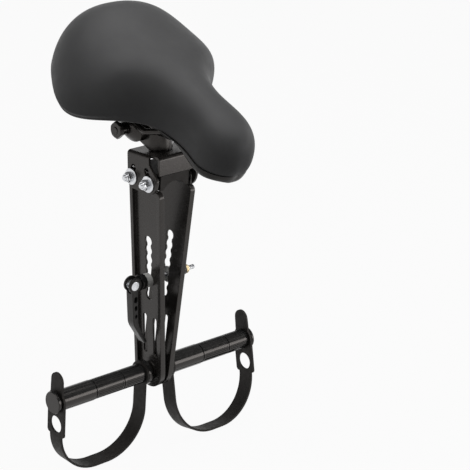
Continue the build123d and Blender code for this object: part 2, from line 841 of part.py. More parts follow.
# Rail cups: inner and outer halves that grip each rail between them, the outer ones bell-shaped
cup_in = band_out + turn_gap
cup_split = rail_half_spacing
outer_cup_end = cup_split + turn_gap + outer_cup_width
groove_radius = rail_radius + bore_play
with BuildPart() as inner_cups:
    with BuildSketch(side(clamp, cup_split - turn_gap)):
        Ellipse(cup_half_length, cup_half_height)
        Circle(clamp_bolt_radius + bore_play, mode=Mode.SUBTRACT)
    extrude(amount=cup_split - turn_gap - cup_in)
    with BuildSketch(front(clamp)):
        with Locations((rail_half_spacing, rail_height)):
            Circle(groove_radius)
    extrude(amount=cup_half_length, both=True, mode=Mode.SUBTRACT)
    mirror(about=Plane.XZ)
inner_cups.part.label = "inner_cups"
export_step(inner_cups.part, "parts/inner_cups.step")

with BuildPart() as outer_cups:
    with BuildSketch(side(clamp, cup_split + turn_gap)):
        Ellipse(cup_half_length, cup_half_height)
    with BuildSketch(side(clamp, outer_cup_end)):
        Circle(cup_nose_radius)
    loft()
    with BuildSketch(side(clamp, outer_cup_end)):
        Circle(clamp_bolt_radius + bore_play)
    extrude(amount=outer_cup_width, mode=Mode.SUBTRACT)
    with BuildSketch(front(clamp)):
        with Locations((rail_half_spacing, rail_height)):
            Circle(groove_radius)
    extrude(amount=cup_half_length, both=True, mode=Mode.SUBTRACT)
    mirror(about=Plane.XZ)
outer_cups.part.label = "outer_cups"
export_step(outer_cups.part, "parts/outer_cups.step")

# Cross bolt with a collar and a nut at each end
collar_end = outer_cup_end + collar_width
clamp_nut_end = collar_end + clamp_nut_height
with BuildPart() as clamp_bolt:
    with BuildSketch(side(clamp, clamp_nut_end + clamp_bolt_tail)):
        Circle(clamp_bolt_radius)
    extrude(amount=2 * (clamp_nut_end + clamp_bolt_tail))
    chamfer(clamp_bolt.edges().filter_by(GeomType.CIRCLE), thread_chamfer)
clamp_bolt.part.label = "clamp_bolt"
export_step(clamp_bolt.part, "parts/clamp_bolt.step")

with BuildPart() as clamp_collars:
    with BuildSketch(side(clamp, collar_end)):
        Circle(collar_radius)
        Circle(clamp_bolt_radius + bore_play, mode=Mode.SUBTRACT)
    extrude(amount=collar_width)
    mirror(about=Plane.XZ)
clamp_collars.part.label = "clamp_collars"
export_step(clamp_collars.part, "parts/clamp_collars.step")

with BuildPart() as clamp_nuts:
    with BuildSketch(side(clamp, clamp_nut_end)):
        RegularPolygon(clamp_nut_flats / 2, 6, major_radius=False)
        Circle(clamp_bolt_radius + bore_play, mode=Mode.SUBTRACT)
    extrude(amount=clamp_nut_height)
    mirror(about=Plane.XZ)
clamp_nuts.part.label = "clamp_nuts"
export_step(clamp_nuts.part, "parts/clamp_nuts.step")

# Saddle rails: one wire bent round the nose, dropping from the base to the clamp on each side
base_z = saddle_up + base_under
rail_end_z = base_z
rail_nose_z = base_z - rail_radius
rail_path = (
    (-rail_rear_run - rail_rear_rise_run, rail_rear_half_spacing, rail_end_z),
    (-rail_rear_run, rail_half_spacing, rail_height),
    (rail_front_run, rail_half_spacing, rail_height),
    (rail_front_run + rail_front_rise_run, rail_nose_half_spacing, rail_nose_z),
    (rail_front_run + rail_front_rise_run, -rail_nose_half_spacing, rail_nose_z),
    (rail_front_run, -rail_half_spacing, rail_height),
    (-rail_rear_run, -rail_half_spacing, rail_height),
    (-rail_rear_run - rail_rear_rise_run, -rail_rear_half_spacing, rail_end_z),
)
rail_bends = (rail_bend, rail_bend, rail_nose_bend, rail_nose_bend, rail_bend, rail_bend)
with BuildPart() as saddle_rails:
    with BuildLine(clamp) as rail_line:
        FilletPolyline(*rail_path, radius=rail_bends)
    with BuildSketch(Plane(origin=rail_line.line @ 0, z_dir=rail_line.line % 0)):
        Circle(rail_radius)
    sweep(path=rail_line.line)
saddle_rails.part.label = "saddle_rails"
export_step(saddle_rails.part, "parts/saddle_rails.step")


def plan_edge(inset):
    """One side of the saddle's plan, brought in from the widest line."""
    return [(s[0] * saddle_length, s[1] * saddle_half_width - inset) for s in sections[2:-1]]


# Saddle base: a moulded pan inside the skirt, with sockets for the rails
socket_radius = rail_radius + bore_play
rear_socket_x = -rail_rear_run - rail_rear_rise_run - saddle_fore
nose_socket_x = rail_front_run + rail_front_rise_run - saddle_fore
socket_size = 2 * (rail_radius + socket_margin)
with BuildPart() as saddle_base:
    with BuildSketch(saddle.offset(base_under)):
        with BuildLine():
            left = Spline(*plan_edge(skirt_wall + turn_gap))
            right = Spline(*[(x, -y) for x, y in plan_edge(skirt_wall + turn_gap)])
            Line(left @ 0, right @ 0)
            Line(left @ 1, right @ 1)
        make_face()
    extrude(amount=base_sheet)
    with BuildSketch(saddle.offset(base_under - socket_height)):
        with Locations((rear_socket_x, rail_rear_half_spacing), (rear_socket_x, -rail_rear_half_spacing)):
            RectangleRounded(socket_size, socket_size, socket_margin)
        with Locations((nose_socket_x, 0)):
            RectangleRounded(socket_size, socket_size + 2 * rail_nose_half_spacing, socket_margin)
    extrude(amount=socket_height)
    with BuildLine(clamp) as socket_line:
        FilletPolyline(*rail_path, radius=rail_bends)
    with BuildSketch(Plane(origin=socket_line.line @ 0, z_dir=socket_line.line % 0)):
        Circle(socket_radius)
    sweep(path=socket_line.line, mode=Mode.SUBTRACT)
saddle_base.part.label = "saddle_base"
export_step(saddle_base.part, "parts/saddle_base.step")

# Saddle cover: a padded shell lofted from tail to tip, hollowed underneath for the base
with BuildPart() as saddle_cover:
    for place, share, crown, edge, belt_share in sections:
        half = share * saddle_half_width
        belt = edge + belt_share * (crown - edge)
        brow = belt + dome * (crown - belt)
        with BuildSketch(front(saddle, place * saddle_length)):
            with BuildLine():
                over = Spline(
                    (half * skirt_tuck, edge),
                    (half, belt),
                    (half * dome, brow),
                    (0, crown),
                    (-half * dome, brow),
                    (-half, belt),
                    (-half * skirt_tuck, edge),
                )
                Line(over @ 1, over @ 0)
            make_face()
    loft()
    with BuildSketch(saddle.offset(base_under + base_sheet)):
        with BuildLine():
            left = Spline(*plan_edge(skirt_wall))
            right = Spline(*[(x, -y) for x, y in plan_edge(skirt_wall)])
            Line(left @ 0, right @ 0)
            Line(left @ 1, right @ 1)
        make_face()
    extrude(amount=-saddle_half_width, mode=Mode.SUBTRACT)
saddle_cover.part.label = "saddle_cover"
export_step(saddle_cover.part, "parts/saddle_cover.step")
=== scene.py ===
import json
import math

import bmesh
import bpy
from mathutils import Matrix, Vector


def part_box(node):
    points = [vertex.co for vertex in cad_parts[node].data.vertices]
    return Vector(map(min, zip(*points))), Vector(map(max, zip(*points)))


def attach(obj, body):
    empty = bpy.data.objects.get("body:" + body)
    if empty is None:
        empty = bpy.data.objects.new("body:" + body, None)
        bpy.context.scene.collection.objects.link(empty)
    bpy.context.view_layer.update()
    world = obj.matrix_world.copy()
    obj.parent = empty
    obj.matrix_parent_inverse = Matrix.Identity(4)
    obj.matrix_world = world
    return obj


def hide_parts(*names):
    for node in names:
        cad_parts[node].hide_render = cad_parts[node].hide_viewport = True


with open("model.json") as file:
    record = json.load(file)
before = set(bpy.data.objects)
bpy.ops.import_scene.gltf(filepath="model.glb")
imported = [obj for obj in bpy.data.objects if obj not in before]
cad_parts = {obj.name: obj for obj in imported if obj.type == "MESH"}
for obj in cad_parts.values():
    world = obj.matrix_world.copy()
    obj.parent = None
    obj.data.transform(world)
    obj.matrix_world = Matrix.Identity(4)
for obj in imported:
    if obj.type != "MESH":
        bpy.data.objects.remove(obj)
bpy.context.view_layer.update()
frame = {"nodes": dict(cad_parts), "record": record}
scene = bpy.context.scene
scene.view_settings.view_transform = "Standard"
NODES = frame["nodes"]
BODY_OF = {node: body for body, nodes in frame["record"]["behaviour"]["bodies"].items() for node in nodes}
SLOT_OF = {row["node"]: row["material_slot"] for row in frame["record"]["subparts"]}

# Shapes are written in millimetres, and textures, floor and lamps in metres
MM = 0.001

# Frames that the CAD uses
BOLT_X, BOLT_Z = 13.85, 16.45
BRACKET_TILT = math.radians(5.0)
RAIL_PITCH = math.radians(16.0)
CLAMP_IN_BRACKET = Vector((-36.5, 0.0, 53.1))
SADDLE_IN_CLAMP = Vector((15.3, 0.0, 37.5))


def frame_matrix(origin, pitch):
    """Matrix of a frame turned nose up by pitch about the crosswise axis."""
    x = Vector((math.cos(pitch), 0.0, math.sin(pitch)))
    y = Vector((0.0, 1.0, 0.0))
    z = Vector((-math.sin(pitch), 0.0, math.cos(pitch)))
    matrix = Matrix((x, y, z)).transposed().to_4x4()
    matrix.translation = Vector(origin)
    return matrix


BRACKET = frame_matrix((BOLT_X, 0.0, BOLT_Z), BRACKET_TILT)
CLAMP = frame_matrix(BRACKET @ CLAMP_IN_BRACKET, -RAIL_PITCH)
SADDLE = frame_matrix(CLAMP @ SADDLE_IN_CLAMP, -RAIL_PITCH)


# Camera: pinhole fitted to the bracket's straight edges in the photograph
PHOTO_PX = 470.0
FOCAL_PX = 1900.0
DISTANCE = 2000.0
AIM_PX = (162.0, 151.0)
AIM = BRACKET @ Vector((-11.2, 0.0, 28.1))
AZIMUTH = math.radians(48.0)
ELEVATION = math.radians(19.0)
SENSOR_WIDTH = 36.0
CLIP = (0.05, 50.0)


def make_camera():
    """Camera that shows AIM at AIM_PX, from angles in the bracket's frame."""
    turn = BRACKET.to_3x3()
    right = turn @ Vector((math.cos(AZIMUTH), math.sin(AZIMUTH), 0.0))
    up = turn @ Vector((-math.sin(AZIMUTH) * math.sin(ELEVATION),
                        math.cos(AZIMUTH) * math.sin(ELEVATION), math.cos(ELEVATION)))
    back = right.cross(up)
    aim_x = (AIM_PX[0] - PHOTO_PX / 2) / FOCAL_PX * DISTANCE
    aim_y = (PHOTO_PX / 2 - AIM_PX[1]) / FOCAL_PX * DISTANCE
    place = AIM - right * aim_x - up * aim_y + back * DISTANCE
    data = bpy.data.cameras.new("camera")
    data.sensor_fit = "HORIZONTAL"
    data.sensor_width = SENSOR_WIDTH
    data.lens = SENSOR_WIDTH * FOCAL_PX / PHOTO_PX
    data.clip_start, data.clip_end = CLIP
    camera = bpy.data.objects.new("camera", data)
    matrix = Matrix((right, up, back)).transposed().to_4x4()
    matrix.translation = place * MM
    camera.matrix_world = matrix
    scene.collection.objects.link(camera)
    scene.camera = camera


make_camera()


# Materials: textures over each object's own coordinates
WARM = (1.0, 0.92, 0.87, 1.0)
NOISE_LOW, NOISE_HIGH = 0.3, 0.7
COAT_ROUGHNESS = 0.15
BEVEL_SAMPLES = 6


def shader(name):
    """New material with its node tree and its main shader."""
    material = bpy.data.materials.new(name)
    material.use_nodes = True
    tree = material.node_tree
    return material, tree, tree.nodes["Principled BSDF"]


def add_node(tree, kind, **inputs):
    """Node with its inputs set by name, an underscore standing for a space."""
    node = tree.nodes.new(kind)
    for key, value in inputs.items():
        node.inputs[key.replace("_", " ")].default_value = value
    return node


def textured(tree, kind, output, **inputs):
    """Output of a texture over the object's coordinates."""
    node = add_node(tree, kind, **inputs)
    place = tree.nodes.new("ShaderNodeTexCoord").outputs["Object"]
    tree.links.new(place, node.inputs["Vector"])
    return node.outputs[output]


def noise(tree, scale, detail):
    return textured(tree, "ShaderNodeTexNoise", "Fac", Scale=scale, Detail=detail, Roughness=0.5)


def spread(tree, value, low, high):
    """The middle of a noise's range, mapped onto low to high."""
    node = add_node(tree, "ShaderNodeMapRange", From_Min=NOISE_LOW, From_Max=NOISE_HIGH,
                    To_Min=low, To_Max=high)
    tree.links.new(value, node.inputs["Value"])
    return node.outputs["Result"]


def tint(tree, value, dark, light):
    """Colour between dark and light by a noise."""
    node = tree.nodes.new("ShaderNodeMix")
    node.data_type = "RGBA"
    node.inputs["A"].default_value = (*dark, 1.0)
    node.inputs["B"].default_value = (*light, 1.0)
    tree.links.new(spread(tree, value, 0.0, 1.0), node.inputs["Factor"])
    return node.outputs["Result"]


def dress(tree, bsdf, colours, rough, tone, gloss, height, strength, depth, edge=0.0):
    """Colour, roughness and bumps from three textures; edge is a radius that softens edges in the shading."""
    tree.links.new(tint(tree, tone, *colours), bsdf.inputs["Base Color"])
    tree.links.new(spread(tree, gloss, *rough), bsdf.inputs["Roughness"])
    bump = add_node(tree, "ShaderNodeBump", Strength=strength, Distance=depth)
    tree.links.new(height, bump.inputs["Height"])
    if edge:
        bevel = add_node(tree, "ShaderNodeBevel", Radius=edge)
        bevel.samples = BEVEL_SAMPLES
        tree.links.new(bevel.outputs["Normal"], bump.inputs["Normal"])
    tree.links.new(bump.outputs["Normal"], bsdf.inputs["Normal"])


def painted(name, colours, rough, coat, shine):
    material, tree, bsdf = shader(name)
    bsdf.inputs["Specular IOR Level"].default_value = shine
    bsdf.inputs["Specular Tint"].default_value = WARM
    bsdf.inputs["Coat Weight"].default_value = coat
    bsdf.inputs["Coat Roughness"].default_value = COAT_ROUGHNESS
    dress(tree, bsdf, colours, rough, tone=noise(tree, scale=35.0, detail=4.0),
          gloss=noise(tree, scale=160.0, detail=3.0), height=noise(tree, scale=900.0, detail=2.0),
          strength=0.03, depth=0.0002)
    return material


def metal(name, colours, rough):
    material, tree, bsdf = shader(name)
    bsdf.inputs["Metallic"].default_value = 1.0
    dress(tree, bsdf, colours, rough, tone=noise(tree, scale=220.0, detail=4.0),
          gloss=noise(tree, scale=500.0, detail=3.0), height=noise(tree, scale=1500.0, detail=2.0),
          strength=0.04, depth=0.0001, edge=0.0003)
    return material


def moulded(name, colours, rough, grain, strength, shine, edge=0.0005):
    material, tree, bsdf = shader(name)
    bsdf.inputs["Specular IOR Level"].default_value = shine
    bsdf.inputs["Specular Tint"].default_value = WARM
    dress(tree, bsdf, colours, rough, tone=noise(tree, scale=60.0, detail=4.0),
          gloss=noise(tree, scale=240.0, detail=3.0), height=noise(tree, scale=grain, detail=3.0),
          strength=strength, depth=0.0002, edge=edge)
    return material


def skin(name, colours, rough, shine):
    material, tree, bsdf = shader(name)
    bsdf.inputs["Specular IOR Level"].default_value = shine
    pores = textured(tree, "ShaderNodeTexVoronoi", "Distance", Scale=1100.0)
    dress(tree, bsdf, colours, rough, tone=noise(tree, scale=18.0, detail=5.0),
          gloss=noise(tree, scale=90.0, detail=4.0), height=pores, strength=0.10, depth=0.0002)
    return material


def greys(dark, light):
    return (dark, dark, dark), (light, light, light)


PAINT = ((0.019, 0.0172, 0.016), (0.027, 0.0245, 0.023))
ZINC = ((0.62, 0.63, 0.65), (0.80, 0.81, 0.83))
YELLOW_ZINC = ((0.66, 0.50, 0.26), (0.82, 0.68, 0.42))
RUBBER = ((0.011, 0.0102, 0.0095), (0.017, 0.0157, 0.0148))
PLASTIC = greys(0.016, 0.024)
SKIN = ((0.045, 0.045, 0.0458), (0.055, 0.055, 0.0558))
OLD_ZINC = ((0.50, 0.50, 0.48), (0.62, 0.62, 0.60))
MATERIALS = {
    "black_paint": painted("black_paint", PAINT, rough=(0.23, 0.29), coat=0.08, shine=0.36),
    "black_alloy": painted("black_alloy", greys(0.018, 0.026), rough=(0.30, 0.42), coat=0.05, shine=0.28),
    "zinc": metal("zinc", ZINC, rough=(0.20, 0.36)),
    "yellow_zinc": metal("yellow_zinc", YELLOW_ZINC, rough=(0.24, 0.40)),
    "black_rubber": moulded("black_rubber", RUBBER, rough=(0.45, 0.60), grain=1400.0, strength=0.08,
                            shine=0.20),
    "black_plastic": moulded("black_plastic", PLASTIC, rough=(0.14, 0.18), grain=1800.0, strength=0.008,
                             shine=0.42, edge=0.0),
    "saddle_skin": skin("saddle_skin", SKIN, rough=(0.46, 0.56), shine=0.13),
}

# Looks that differ from the slot's own
DULL_ZINC = moulded("dull_zinc", OLD_ZINC, rough=(0.50, 0.62), grain=1500.0, strength=0.05, shine=0.50)
PAN_PLASTIC = moulded("pan_plastic", PLASTIC, rough=(0.50, 0.62), grain=1200.0, strength=0.06, shine=0.12)
RIM_PLASTIC = moulded("rim_plastic", PLASTIC, rough=(0.28, 0.36), grain=1500.0, strength=0.02, shine=0.20,
                      edge=0.0)
OWN_LOOK = {"skewer_washers": DULL_ZINC, "saddle_base": PAN_PLASTIC, "saddle_rim": RIM_PLASTIC}


def look_of(name, slot_name):
    return OWN_LOOK.get(name, MATERIALS[slot_name])


for node_name, node_object in NODES.items():
    node_object.data.materials.clear()
    node_object.data.materials.append(look_of(node_name, SLOT_OF[node_name]))


# Pieces
def place_piece(name, mesh, look, body):
    """Object of a smooth-shaded mesh in the row frame, riding on a body."""
    for polygon in mesh.polygons:
        polygon.use_smooth = True
    mesh.materials.append(look)
    piece = bpy.data.objects.new(name, mesh)
    scene.collection.objects.link(piece)
    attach(piece, body)
    return piece


def add_piece(name, verts, faces, body, slot_name):
    """New piece from points in millimetres."""
    mesh = bpy.data.meshes.new(name)
    mesh.from_pydata([Vector(v) * MM for v in verts], [], faces)
    mesh.validate()
    shell = bmesh.new()
    shell.from_mesh(mesh)
    bmesh.ops.recalc_face_normals(shell, faces=shell.faces)
    shell.to_mesh(mesh)
    shell.free()
    return place_piece(name, mesh, look_of(name, slot_name), body)


def grid_faces(rows, columns):
    """Quads of a grid of rows that each close on themselves."""
    faces = []
    for i in range(rows - 1):
        for j in range(columns):
            k = (j + 1) % columns
            faces.append((i * columns + j, i * columns + k, (i + 1) * columns + k, (i + 1) * columns + j))
    return faces


def capped_faces(rows, columns):
    """The grid's quads with a cap on the first and the last row."""
    last = (rows - 1) * columns
    return grid_faces(rows, columns) + [tuple(range(columns)), tuple(range(last, last + columns))]


def join(shapes):
    """One list of verts and faces from several."""
    verts, faces = [], []
    for more_verts, more_faces in shapes:
        faces += [tuple(v + len(verts) for v in face) for face in more_faces]
        verts += more_verts
    return verts, faces


def smooth_curve(knots, values):
    """Natural cubic spline through values at the knots, as a function of the place along them."""
    n = len(knots)
    gaps = [knots[i + 1] - knots[i] for i in range(n - 1)]
    lower, bends = [0.0] * n, [0.0] * n
    for i in range(1, n - 1):
        rise = (values[i + 1] - values[i]) / gaps[i] - (values[i] - values[i - 1]) / gaps[i - 1]
        pivot = 2 * (gaps[i - 1] + gaps[i]) - gaps[i - 1] * lower[i - 1]
        lower[i] = gaps[i] / pivot
        bends[i] = (3 * rise - gaps[i - 1] * bends[i - 1]) / pivot
    for i in range(n - 2, 0, -1):
        bends[i] -= lower[i] * bends[i + 1]

    def value(at):
        i = max(j for j in range(n - 1) if knots[j] <= at or j == 0)
        t = at - knots[i]
        slope = (values[i + 1] - values[i]) / gaps[i] - gaps[i] * (2 * bends[i] + bends[i + 1]) / 3
        return values[i] + t * (slope + t * (bends[i] + t * (bends[i + 1] - bends[i]) / (3 * gaps[i])))

    return value


# Saddle
SADDLE_LENGTH = 262.0
SADDLE_HALF_WIDTH = 91.5
# Shares of the length and half width, crown, lower edge, share of the height at the belt, squareness
SECTIONS = (
    (-0.4935, 0.0, -9.0, -9.2, 0.30, 2.3),
    (-0.490, 0.150, 20.0, -10.5, 0.30, 2.3),
    (-0.476, 0.420, 40.0, -12.0, 0.26, 2.3),
    (-0.425, 0.690, 55.5, -13.0, 0.16, 2.3),
    (-0.330, 0.880, 65.8, -17.5, 0.10, 2.3),
    (-0.190, 1.000, 62.5, -26.5, 0.10, 2.35),
    (-0.040, 0.840, 58.0, -15.5, 0.11, 2.7),
    (0.090, 0.430, 51.5, -8.5, 0.34, 2.5),
    (0.230, 0.290, 46.5, -12.0, 0.52, 2.4),
    (0.370, 0.315, 42.0, -18.5, 0.55, 2.4),
    (0.453, 0.255, 33.5, -17.0, 0.50, 2.3),
    (0.496, 0.130, 17.0, -14.5, 0.45, 2.3),
    (0.5015, 0.0, -13.0, -13.2, 0.45, 2.3),
)
KNOT_POWER = 0.7
PAD_STATIONS = 160
RIM_STATIONS = 200

# Pad: sides drawn in to the lower edge, a rounded skirt and a hollow underneath
TUCK = 0.96
SKIRT = 7.0
SHOULDER_STEPS = 22
SIDE_STEPS = 8
ROLL_STEPS = 8
UNDER_SHARES = (0.02, 0.06, 0.1, 0.3, 0.55, 0.8, 1.0)
UNDER_RISE = 0.1
PAD_UNDER = -6.0
PAD_TIP = 1.5
HOLLOW = (-0.435, 0.468)
HOLLOW_RUN = 0.02

# Rim of the pan under the nose; a pair is a stretch of x over which the form changes
RIM_LOW = 1.8
RIM_HIGH = 7.0
RIM_TIP = 5.5
RIM_START = (10.0, 50.0)
RIM_RISE = (45.0, 86.0)
RIM_FALL = (108.0, 130.0)
RIM_LAP = 0.8
RIM_INSET = -0.9
RIM_HIDE = 4.0
RIM_ROUND = 1.5
RIM_ROUND_STEPS = 6
RIM_ROUND_SHARE = 0.8
RIM_BURIED = 0.3
RIM_OVERLAP = 6.0
RIM_WIDTH = 3.5
RIM_DROP = 5.5
RIM_BLUNT = 11.0
RIM_SQUARE = 3.0
RIM_SLOPE = 2.0
RIM_POINT = 0.05
RIM_SHARP = math.radians(40.0)
HULL_TOP_STEPS = 8
HULL_STEPS = 24

# Chin: how the nose draws back and in towards its lower edge
CHIN = 6.0
CHIN_TOP = 6.0
CHIN_LOW = -15.0
CHIN_RISE = (95.0, 129.0)
NOSE_TUCK = 0.06


def saddle_ring(half, crown, edge, share, square, under):
    """Section of the pad as a closed loop of (across, up), from the crown over the left side and back."""
    belt = edge + share * (crown - edge)
    roll = min(SKIRT, half / 2) / 2
    left = []
    for i in range(SHOULDER_STEPS + 1):
        a = math.pi / 2 * (1 - i / SHOULDER_STEPS)
        left.append((half * math.cos(a) ** (2 / square), belt + (crown - belt) * math.sin(a) ** (2 / square)))
    for i in range(1, SIDE_STEPS + 1):
        s = i / SIDE_STEPS
        left.append((half * (1 - (1 - TUCK) * s * s), belt - s * (belt - edge - roll)))
    bottom = half * TUCK - roll
    for i in range(1, ROLL_STEPS + 1):
        a = -math.pi * i / ROLL_STEPS
        left.append((bottom + roll * math.cos(a), edge + roll + roll * math.sin(a)))
    inner = bottom - roll
    top = max(under, edge + roll)
    for s in UNDER_SHARES:
        left.append((inner * (1 - s), edge + roll + (top - edge - roll) * min(1.0, s / UNDER_RISE)))
    right = [(-y, z) for y, z in reversed(left[1:-1])]
    return left + right


def eased(value, start, end):
    """Share from 0 to 1 that leaves start and meets end gently."""
    t = min(1.0, max(0.0, (value - start) / (end - start)))
    return t * t * (3 - 2 * t)


def rim_height(x):
    """Height of the pan's rim that shows under the pad, tallest behind the nose's tip."""
    return (RIM_LOW * eased(x, *RIM_START) + (RIM_HIGH - RIM_LOW) * eased(x, *RIM_RISE)
            - (RIM_HIGH - RIM_TIP) * eased(x, *RIM_FALL))


def chin_share(x, z):
    """Share by which the nose draws back and in towards its lower edge."""
    low = min(1.0, max(0.0, (CHIN_TOP - z) / (CHIN_TOP - CHIN_LOW)))
    return eased(x, *CHIN_RISE) * low * low


def saddle_stations(count):
    """Even steps along the saddle as (x, half width, crown, edge, belt share, squareness)."""
    stations = [(s[0] * SADDLE_LENGTH, s[1] * SADDLE_HALF_WIDTH, *s[2:]) for s in SECTIONS]
    knots = [0.0]
    for a, b in zip(stations, stations[1:]):
        knots.append(knots[-1] + math.dist(a[:3], b[:3]) ** KNOT_POWER)
    curves = [smooth_curve(knots, [s[k] for s in stations]) for k in range(len(SECTIONS[0]))]
    return [[curve(knots[-1] * i / count) for curve in curves] for i in range(count + 1)]


def saddle_pad():
    """Pad lofted through the sections, leaving out the two tips where they shrink to nothing."""
    verts = []
    rows = 0
    for x, half, crown, edge, share, square in saddle_stations(PAD_STATIONS):
        edge += rim_height(x) - RIM_LAP * eased(x, *RIM_START)
        if half < PAD_TIP or crown - edge < PAD_TIP:
            continue
        rows += 1
        place = x / SADDLE_LENGTH
        inside = min(1.0, max(0.0, (place - HOLLOW[0]) / HOLLOW_RUN),
                     max(0.0, (HOLLOW[1] - place) / HOLLOW_RUN))
        under = edge + max(PAD_UNDER - edge, 0.0) * inside
        loop = saddle_ring(half, crown, edge, share, square, under)
        for y, z in loop:
            back = chin_share(x, z)
            verts.append(SADDLE @ Vector((x - CHIN * back, y * (1 - NOSE_TUCK * back), z)))
    pad = add_piece("saddle_pad", verts, capped_faces(rows, len(loop)), "saddle", "saddle_skin")
    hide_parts("saddle_cover")


def rim_strip(hand):
    """Strip of the pan's rim under one side of the nose, coming out from behind the pad."""
    verts = []
    rows = 0
    for x, half, _, edge, _, _ in saddle_stations(RIM_STATIONS):
        if not RIM_START[0] < x < RIM_RISE[0] + RIM_OVERLAP:
            continue
        out = half * TUCK - RIM_INSET - RIM_HIDE * (1 - eased(x, *RIM_START))
        height = rim_height(x) + RIM_BURIED
        loop = [(out, height)]
        for k in range(RIM_ROUND_STEPS + 1):
            a = -math.pi / 2 * k / RIM_ROUND_STEPS
            loop.append((out + RIM_ROUND * (math.cos(a) - 1), RIM_ROUND_SHARE * height * (1 + math.sin(a))))
        loop += [(out - RIM_WIDTH, 0.0), (out - RIM_WIDTH, height)]
        verts += [SADDLE @ Vector((x, hand * y, edge + up)) for y, up in loop]
        rows += 1
    return verts, capped_faces(rows, len(loop))


def rim_nose():
    """Front of the pan: a shallow hull under the nose."""
    verts = []
    rows = 0
    for x, half, _, edge, _, _ in saddle_stations(RIM_STATIONS):
        if x < RIM_RISE[0]:
            continue
        top = edge + rim_height(x)
        across = max(half * (1 - NOSE_TUCK * chin_share(x, top)) * TUCK - RIM_INSET, RIM_POINT)
        deep = (rim_height(x) + RIM_DROP * eased(x, *RIM_RISE)) * math.sqrt(min(1.0, across / RIM_BLUNT))
        loop = [(across * (1 - 2 * k / HULL_TOP_STEPS), top) for k in range(HULL_TOP_STEPS + 1)]
        for k in range(1, HULL_STEPS):
            a = math.pi * (1 - k / HULL_STEPS)
            wide = math.copysign(abs(math.cos(a)) ** (2 / RIM_SQUARE), math.cos(a))
            loop.append((across * wide, top - deep * math.sin(a) ** (2 / RIM_SQUARE)))
        for y, z in loop:
            back = CHIN * chin_share(x, top) + RIM_SLOPE * eased(x, *CHIN_RISE) * (top - z) / RIM_HIGH
            verts.append(SADDLE @ Vector((x - back, y, z)))
        rows += 1
    return verts, capped_faces(rows, len(loop))


saddle_pad()
rim = add_piece("saddle_rim", *join([rim_strip(1), rim_strip(-1), rim_nose()]), "saddle", "black_plastic")
rim.data.set_sharp_from_angle(angle=RIM_SHARP)


# Nuts, bolts and washers, as rings of (along, radius) about crosswise axes
CHAMFER_START = 0.96
CHAMFER_SLOPE = math.tan(math.radians(30.0))
CHAMFER_STEPS = 4
COLLAR_PROFILE = ((0.0, 0.0), (0.6, 0.0), (0.88, 0.3), (1.0, 0.9))  # share of the height, drop of the radius
THREAD_STEPS = 6
TURN_STEPS = 60
TURN_SHARP = math.radians(24.0)


def hexagon(flats):
    """Radius of a hexagon with corners fore and aft, as a function of the angle."""
    return lambda a: flats / 2 / math.cos(a % (math.pi / 3) - math.pi / 6)


def nut_rings(start, end, flats, bore, collar=None):
    """Rings of a hexagon nut with chamfered corners, and a round collar if (radius, height) is given."""
    corner = hexagon(flats)
    crown = CHAMFER_START * flats / 2
    depth = (corner(0.0) - crown) * CHAMFER_SLOPE
    steps = range(CHAMFER_STEPS + 1)
    limits = [crown + depth / CHAMFER_SLOPE * k / CHAMFER_STEPS for k in steps]
    shape = [lambda a, limit=limit: min(corner(a), limit) for limit in limits]
    rings = [(start, bore)]
    rings += [(start + depth * k / CHAMFER_STEPS, shape[k]) for k in steps]
    rings += [(end - depth * k / CHAMFER_STEPS, shape[k]) for k in reversed(steps)]
    if collar:
        radius, height = collar
        rings += [(end + share * height, radius - drop) for share, drop in COLLAR_PROFILE]
        end += height
    rings.append((end, bore))
    return rings


def thread_rings(start, end, radius, pitch, depth):
    """Rings of a screw thread, with the helix in the radius."""
    steps = max(2, round((end - start) / pitch * THREAD_STEPS))
    rings = []
    for i in range(steps + 1):
        along = start + (end - start) * i / steps
        rings.append((along, lambda a, turns=along / pitch:
                      radius - depth * abs(2 * ((turns - a / (2 * math.pi)) % 1.0) - 1)))
    return rings


def turned(rings, x, z, hand=1, place=None, hollow=True):
    """Verts and faces of rings about an axis; hollow rings close on the first one, others are capped."""
    place = place or Matrix.Identity(4)
    verts = []
    for along, radius in rings:
        for j in range(TURN_STEPS):
            a = 2 * math.pi * j / TURN_STEPS
            r = radius(a) if callable(radius) else radius
            verts.append(place @ Vector((x + r * math.cos(a), hand * along, z + r * math.sin(a))))
    if not hollow:
        return verts, capped_faces(len(rings), TURN_STEPS)
    last = (len(rings) - 1) * TURN_STEPS
    around = [(last + j, last + (j + 1) % TURN_STEPS, (j + 1) % TURN_STEPS, j) for j in range(TURN_STEPS)]
    return verts, grid_faces(len(rings), TURN_STEPS) + around


def fitting(name, shapes, body, slot_name):
    """Piece made of turned shapes, in place of the CAD node of that name."""
    piece = add_piece(name + "_turned", *join(shapes), body, slot_name)
    piece.data.set_sharp_from_angle(angle=TURN_SHARP)
    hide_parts(name)


# Bracket bolts with their washers and collared nuts
BOLT_PLACES = [(x, hand) for x in (BOLT_X, -BOLT_X) for hand in (1, -1)]
BOLT_RADIUS = 3.0
BOLT_BORE = 3.1
BOLT_FLATS = 10.0
BOLT_PITCH = 1.0
BOLT_THREAD = 0.5
BOLT_TIP = 2.2
HEAD_IN, HEAD_OUT = 18.5, 22.0
HEAD_RADIUS = 6.0
HEAD_CHAMFER = 0.4
WASHER_IN, WASHER_OUT = 28.6, 30.2
WASHER_RADIUS = 9.0
WASHER_CHAMFER = 0.3
WASHER_ROUND = 0.5
WASHER_BEND = 0.15
NUT_PLAY = 0.02
NUT_OUT = 35.6
COLLAR_OUT = 37.6
COLLAR_RADIUS = 4.6
SHANK_END = 30.0
THREAD_START, THREAD_END = 34.0, COLLAR_OUT + 1.4
BOLT_END = COLLAR_OUT + 2.0

